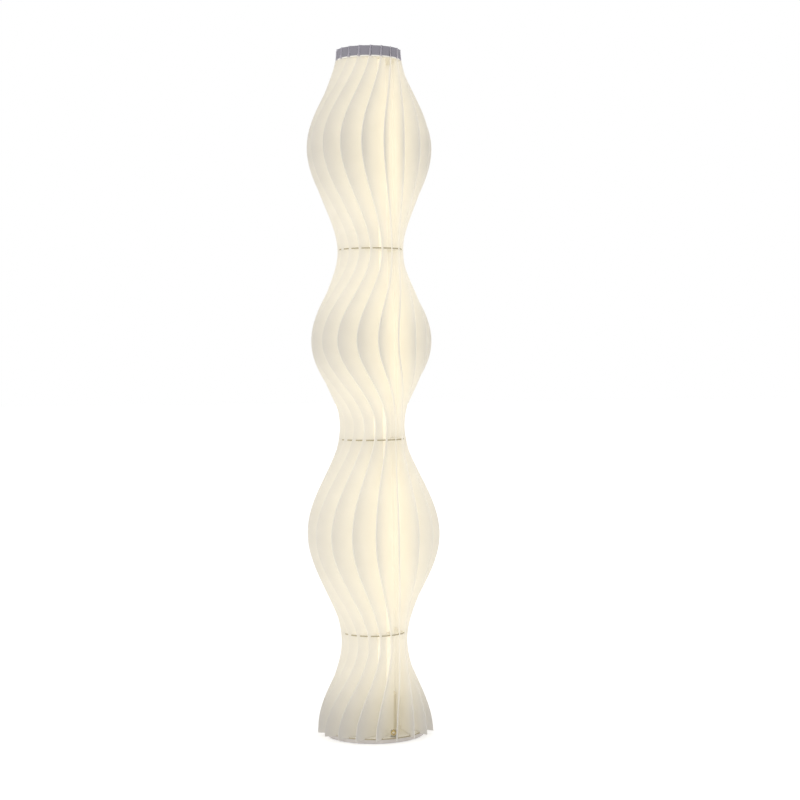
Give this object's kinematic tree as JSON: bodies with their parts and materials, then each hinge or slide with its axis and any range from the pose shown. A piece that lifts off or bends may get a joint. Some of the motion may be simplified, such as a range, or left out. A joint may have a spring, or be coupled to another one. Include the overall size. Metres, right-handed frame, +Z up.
{
  "type": "floor lamp",
  "caption": "Tall floor lamp: wavy frosted sheets stand round a lit column like turbine blades, held by slotted discs on a central pole over a round base plate.",
  "frame": {"origin": "on the floor, in the middle of the lamp's foot, on the axis of the pole", "axes": "+Z up along the pole; -Y towards the front of the picture, +X to the right"},
  "size_m": [0.31, 0.3124, 1.6],
  "materials": {
    "sheet_frosted": "satin frosted",
    "tube_frosted": "satin frosted, lit from inside",
    "light_board": "white board with light chips",
    "disc_laminate": "compact laminate, pale faces over a brown core",
    "base_paint": "matt powder coat, pale warm grey",
    "cap_plastic": "moulded, fine grain",
    "felt_dark": "felt",
    "housing_paint": "matt powder coat, stone",
    "pole_aluminium": "extruded",
    "collar_aluminium": "turned",
    "steel_plain": "plain",
    "steel_zinc": "zinc plated",
    "nut_plated": "bright plated",
    "gland_brass": "satin",
    "rubber_dark": "matt",
    "driver_case": "fine grain",
    "terminal_plastic": "satin"
  },
  "bodies": {
    "root": {"base_pads": "felt_dark", "base_plate": "base_paint", "bracket_screw": "steel_zinc", "cap_nut": "nut_plated", "column_pole": "pole_aluminium", "cord_gland": "gland_brass", "diffuser_tube_1": "tube_frosted", "diffuser_tube_2": "tube_frosted", "diffuser_tube_3": "tube_frosted", "diffuser_tube_4": "tube_frosted", "driver_housing": "housing_paint", "foot_disc": "disc_laminate", "gland_bracket": "steel_zinc", "gland_nut": "gland_brass", "housing_grommet": "rubber_dark", "housing_lid": "housing_paint", "housing_posts": "steel_zinc", "led_driver": "driver_case", "lid_screws": "steel_zinc", "light_strips_1": "light_board", "light_strips_2": "light_board", "light_strips_3": "light_board", "light_strips_4": "light_board", "lower_collar": "collar_aluminium", "lower_disc": "disc_laminate", "middle_collar": "collar_aluminium", "middle_disc": "disc_laminate", "pole_set_screws": "steel_zinc", "pole_socket": "steel_plain", "socket_screws": "steel_zinc", "terminal_block": "terminal_plastic", "top_cap": "cap_plastic", "top_collar": "collar_aluminium", "top_disc": "disc_laminate", "top_stud": "steel_zinc", "top_washer": "steel_zinc", "upper_collar": "collar_aluminium", "upper_disc": "disc_laminate", "vane_01": "sheet_frosted", "vane_02": "sheet_frosted", "vane_03": "sheet_frosted", "vane_04": "sheet_frosted", "vane_05": "sheet_frosted", "vane_06": "sheet_frosted", "vane_07": "sheet_frosted", "vane_08": "sheet_frosted", "vane_09": "sheet_frosted", "vane_10": "sheet_frosted", "vane_11": "sheet_frosted", "vane_12": "sheet_frosted", "vane_13": "sheet_frosted", "vane_14": "sheet_frosted", "vane_15": "sheet_frosted", "vane_16": "sheet_frosted", "vane_17": "sheet_frosted", "vane_18": "sheet_frosted"}
  },
  "joints": []
}
